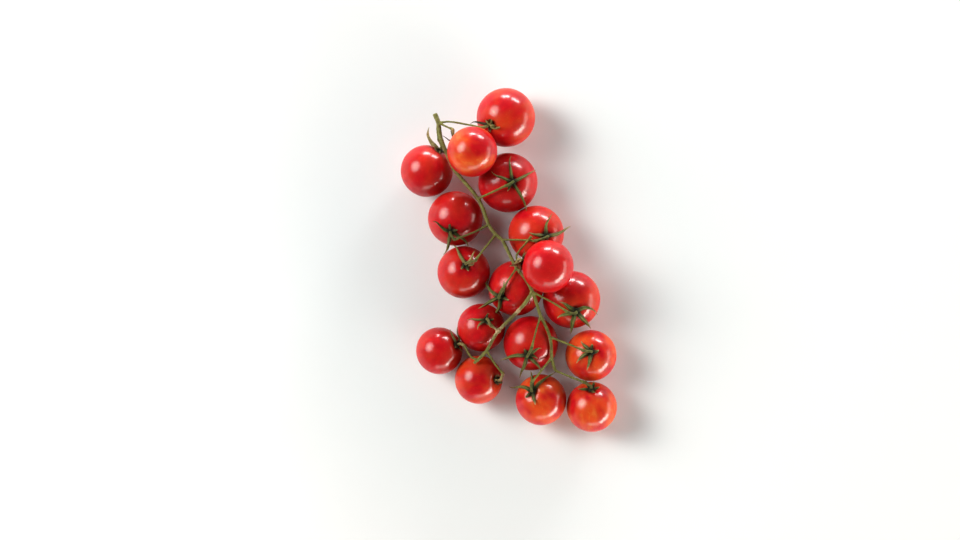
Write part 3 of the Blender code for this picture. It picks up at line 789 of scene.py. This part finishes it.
def calyx_material():
    """Hairy green leaf: a paler rib, dull blotches, painted shade round the hub and on shaded
    sepals, and straw-dry tips.
    """
    n = Nodes("calyx_green_fine")
    tip, ridge, dry, heart = (n.attribute(name) for name in ("tip", "ridge", "dry", "heart"))
    mottle = n.noise(900.0, 4.0, roughness=0.65)
    patches = n.noise(260.0, 2.0)
    leafy = n.mix(n.even(mottle), colour(38, 46, 16), colour(84, 96, 38))
    ribbed = n.mix(n.times(n.span(ridge, 0.7, 1.0), 0.8), leafy, colour(134, 142, 72))
    aged = n.mix(n.times(n.span(patches, 0.45, 0.7), 0.45), ribbed, colour(88, 74, 42))
    straw = n.mix(n.even(mottle), colour(112, 88, 52), colour(196, 170, 116))
    ends = n.span(n.maths("ADD", tip, n.times(mottle, 0.3)), 0.8, 1.15)
    dried = n.times(dry, n.span(patches, 0.3, 0.6, 0.6, 1.0))
    withered = n.maths("MAXIMUM", dried, n.times(ends, 0.8))
    # Painted shade: nearly black green round the hub and over sepals that lie in shade.
    shaded = n.mix(heart, n.mix(withered, aged, straw), colour(12, 13, 5))
    return n.finish(
        Base_Color=shaded,
        Roughness=n.even(mottle, 0.5, 0.72),
        Specular_IOR_Level=0.15,
        Normal=n.bump(n.noise(1500.0, 3.0), 0.12, 0.6),
    )


def vine_material():
    """Olive stem, tan where it is woody, greener where it is thin, with corky scars."""
    n = Nodes("vine_bark_fine")
    mottle = n.noise(700.0, 4.0, roughness=0.65)
    patches = n.noise(110.0, 3.0)
    thin = n.mix(n.even(mottle), colour(76, 80, 30), colour(128, 130, 62))
    olive = n.mix(n.even(mottle), colour(80, 80, 34), colour(142, 138, 76))
    stem = n.mix(n.span(n.attribute("girth"), 1.2, 2.1), thin, olive)
    bruised = n.mix(n.times(n.span(patches, 0.48, 0.66), 0.65), stem, colour(86, 66, 34))
    cork = n.mix(n.span(mottle, 0.35, 0.65), colour(150, 120, 80), colour(214, 192, 150))
    corky = n.times(n.attribute("corky"), n.span(mottle, 0.3, 0.5, 0.6, 1.0))
    return n.finish(
        Base_Color=n.mix(corky, bruised, cork),
        Roughness=n.even(mottle, 0.5, 0.75),
        Specular_IOR_Level=0.2,
        Normal=n.bump(n.noise(1300.0, 4.0), 0.15, 0.7),
    )


def table_material():
    """A matt white table with painted shade near the truss and painted light farther off."""
    n = Nodes("table_white")
    apart = n.add("VectorMath", {"operation": "LENGTH"})
    n.put(n.add("TexCoord").outputs["Object"], apart.inputs[0])
    outward = n.span(apart.outputs["Value"], *TABLE_PAINTED_FALLOFF)
    grain = n.even(n.noise(30.0, 2.0), -0.004, 0.004)
    # Painted shade near the truss, fading to painted light farther off.
    tone = n.mix(n.maths("ADD", outward, grain), TABLE_SHADED_TONE, TABLE_BRIGHTENED_TONE)
    return n.finish(Base_Color=tone, Roughness=0.9, Specular_IOR_Level=0.2)


# Studio


def softbox(name, azimuth, elevation, wide, tall, radiance, shape="RECTANGLE", tint=(1, 1, 1)):
    """A light that faces the truss. Azimuth is from +X towards +Y, wide and tall are the
    angles that it covers, and radiance is its brightness, where the table's is about 1."""
    data = bpy.data.lights.new(name, "AREA")
    data.shape = shape
    data.size = 2 * LIGHT_DISTANCE * math.tan(math.radians(wide / 2))
    data.size_y = 2 * LIGHT_DISTANCE * math.tan(math.radians(tall / 2))
    area = data.size * data.size_y * (math.pi / 4 if shape == "ELLIPSE" else 1)
    data.energy = radiance * area * math.pi
    data.color = tint
    light = bpy.data.objects.new(name, data)
    a, e = math.radians(azimuth), math.radians(elevation)
    outward = Vector((math.cos(a) * math.cos(e), math.sin(a) * math.cos(e), math.sin(e)))
    light.location = outward * LIGHT_DISTANCE
    light.rotation_mode = "QUATERNION"
    light.rotation_quaternion = outward.to_track_quat("Z", "Y")
    bpy.context.scene.collection.objects.link(light)


def surroundings():
    """A pale room, brightest at the horizon and dim overhead."""
    world = bpy.data.worlds.new("studio")
    bpy.context.scene.world = world
    world.use_nodes = True
    tree = world.node_tree
    background = tree.nodes["Background"]
    place = tree.nodes.new("ShaderNodeTexCoord")
    split = tree.nodes.new("ShaderNodeSeparateXYZ")
    ramp = tree.nodes.new("ShaderNodeValToRGB")
    horizon, overhead = ramp.color_ramp.elements
    horizon.position, horizon.color = 0.0, HORIZON_COLOUR
    overhead.position, overhead.color = OVERHEAD_START, OVERHEAD_COLOUR
    tree.links.new(place.outputs["Generated"], split.inputs[0])
    tree.links.new(split.outputs["Z"], ramp.inputs["Fac"])
    tree.links.new(ramp.outputs["Color"], background.inputs["Color"])
    background.inputs["Strength"].default_value = ROOM_STRENGTH


def table():
    mesh = bpy.data.meshes.new("table")
    ends = ((-1, -1), (1, -1), (1, 1), (-1, 1))
    corners = [(x * TABLE_HALF, y * TABLE_HALF, TABLE_LEVEL) for x, y in ends]
    mesh.from_pydata(corners, [], [(0, 1, 2, 3)])
    mesh.materials.append(table_material())
    made = bpy.data.objects.new("table", mesh)
    bpy.context.scene.collection.objects.link(made)


def camera():
    """Straight above, with the truss a little to the right of the middle of the view."""
    low, high = cad_box
    middle = (low + high) / 2
    data = bpy.data.cameras.new("camera")
    made = bpy.data.objects.new("camera", data)
    made.location = (
        middle.x + CAMERA_OFFSET[0] * MM,
        middle.y + CAMERA_OFFSET[1] * MM,
        CAMERA_HEIGHT * MM,
    )
    data.sensor_width = SENSOR_WIDTH
    data.lens = data.sensor_width * (CAMERA_HEIGHT - FRAME_LEVEL) / FRAME_WIDTH
    bpy.context.scene.collection.objects.link(made)
    bpy.context.scene.camera = made


def studio():
    camera()
    table()
    surroundings()
    softbox("key_core", KEY_AZIMUTH, KEY_ELEVATION, 15, 13, 13.0, "ELLIPSE", KEY_TINT)
    for width in (22, 30, 42):  # the lamp fades towards its rim
        softbox(f"key_{width}", KEY_AZIMUTH, KEY_ELEVATION, width, 0.9 * width, 5.7, "ELLIPSE")
    softbox("top_strip", 90, 5, 20, 9, 36.0)
    softbox("top_window", 62, 10, 22, 9, 32.0)
    for azimuth, radiance in ((-84, 4.0), (-44, 18.0), (-4, 4.5)):
        softbox(f"low_fill_{-azimuth}", azimuth, 7, 38, 17, radiance, tint=FILL_TINT)
    bpy.context.scene.view_settings.view_transform = "Standard"


def place_piece(made, node):
    """Sets a piece on the part's one body, in place of its CAD node."""
    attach(made, BODY)
    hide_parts(node)


studio()
fruits = [Fruit(number) for number in FRUITS]
skin, leaf, bark = skin_material(), calyx_material(), vine_material()
vine_points = np.array([vertex.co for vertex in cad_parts["vine"].data.vertices]) / MM
for fruit in fruits:
    place_piece(fruit_piece(fruit, skin), fruit.node)
    calyx = calyx_piece(fruit, fruits, vine_points, leaf)
    place_piece(calyx, f"calyx_{fruit.number:02d}")
place_piece(vine_piece(bark), "vine")
